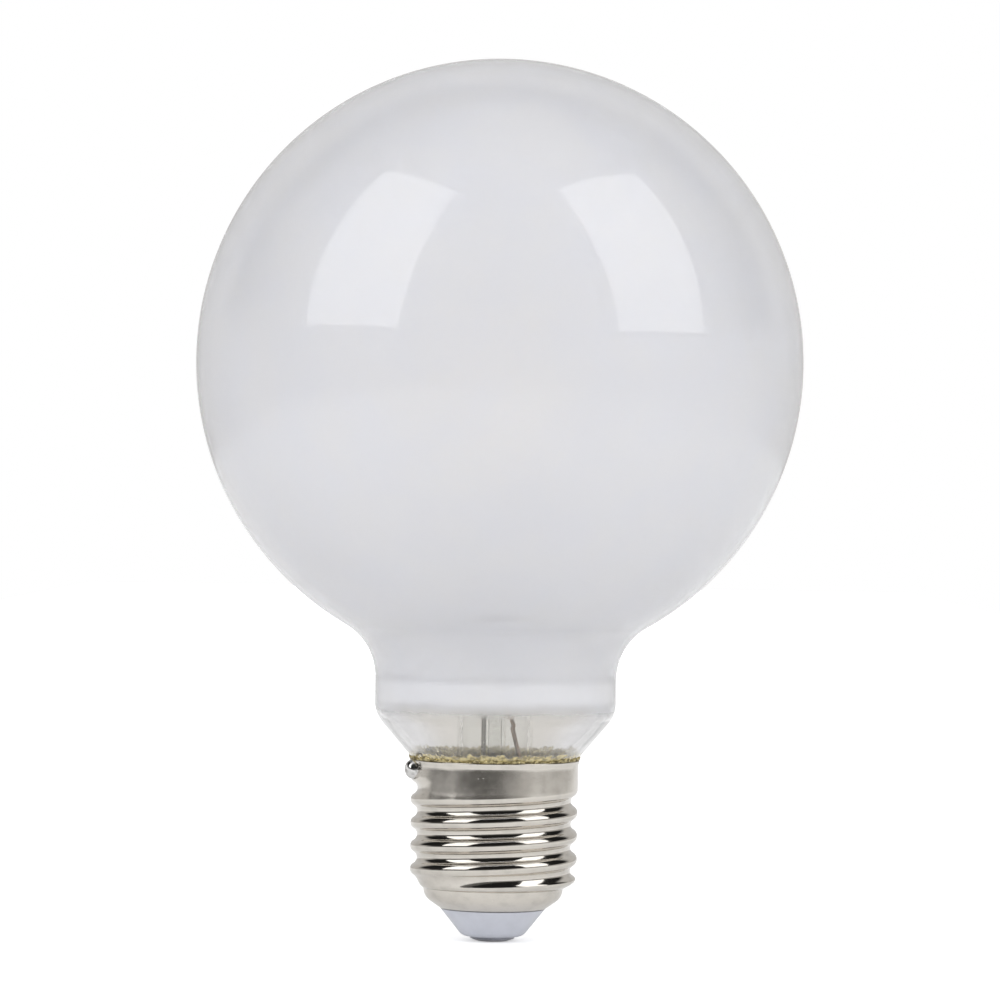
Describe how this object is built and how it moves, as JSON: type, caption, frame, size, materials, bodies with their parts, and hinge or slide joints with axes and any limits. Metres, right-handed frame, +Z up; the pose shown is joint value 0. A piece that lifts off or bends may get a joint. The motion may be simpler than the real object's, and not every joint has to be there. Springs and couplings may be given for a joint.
{
  "type": "globe bulb",
  "caption": "Frosted glass globe LED filament bulb with a narrow neck, clear at its foot, cemented into a nickel-plated E27 screw cap.",
  "frame": {"origin": "middle of the flat face of the centre contact, at the bottom of the bulb", "axes": "+Z up along the bulb's axis from the contact to the crown of the globe; -Y faces the camera of the picture; the side solder is on the -X side of the rim"},
  "size_m": [0.095, 0.095, 0.1379],
  "materials": {
    "frosted_glass": "gloss outside over a milk-white diffusing coat inside, clear at the foot of the neck",
    "clear_glass": "clear, fire polished",
    "nickel_wire": "drawn, satin",
    "copper_wire": "drawn, copper coloured",
    "phosphor": "soft silicone coat loaded with phosphor",
    "cement": "baked resin cement with fine pores",
    "solder": "bright frozen bead",
    "nickel_plate": "bright rolled nickel plate",
    "insulator": "smooth moulding, cool white",
    "contact_metal": "pressed nickel plate",
    "tinned_wire": "tinned",
    "board": "green solder resist",
    "black_moulding": "matt moulding",
    "capacitor_sleeve": "shrunk sleeve",
    "resistor_body": "glazed top",
    "fuse_coat": "dipped lacquer"
  },
  "bodies": {
    "root": {"glass_globe": "frosted_glass", "glass_stem": "clear_glass", "lead_wire_a": "nickel_wire", "lead_wire_b": "copper_wire", "filament_bar_a": "nickel_wire", "filament_bar_b": "nickel_wire", "crown_wire_lower": "nickel_wire", "crown_wire_upper": "nickel_wire", "led_filament_1": "phosphor", "led_filament_2": "phosphor", "led_filament_3": "phosphor", "led_filament_4": "phosphor", "filament_tabs_1": "nickel_wire", "filament_tabs_2": "nickel_wire", "filament_tabs_3": "nickel_wire", "filament_tabs_4": "nickel_wire", "capping_cement": "cement", "side_solder": "solder", "screw_shell": "nickel_plate", "cap_insulator": "insulator", "centre_contact": "contact_metal", "neutral_wire": "tinned_wire", "driver_board": "board", "bridge_rectifier": "black_moulding", "driver_chip": "black_moulding", "smoothing_capacitor": "capacitor_sleeve", "capacitor_legs": "tinned_wire", "chip_resistors": "resistor_body", "fuse_resistor": "fuse_coat", "fuse_leads": "tinned_wire"}
  },
  "joints": []
}
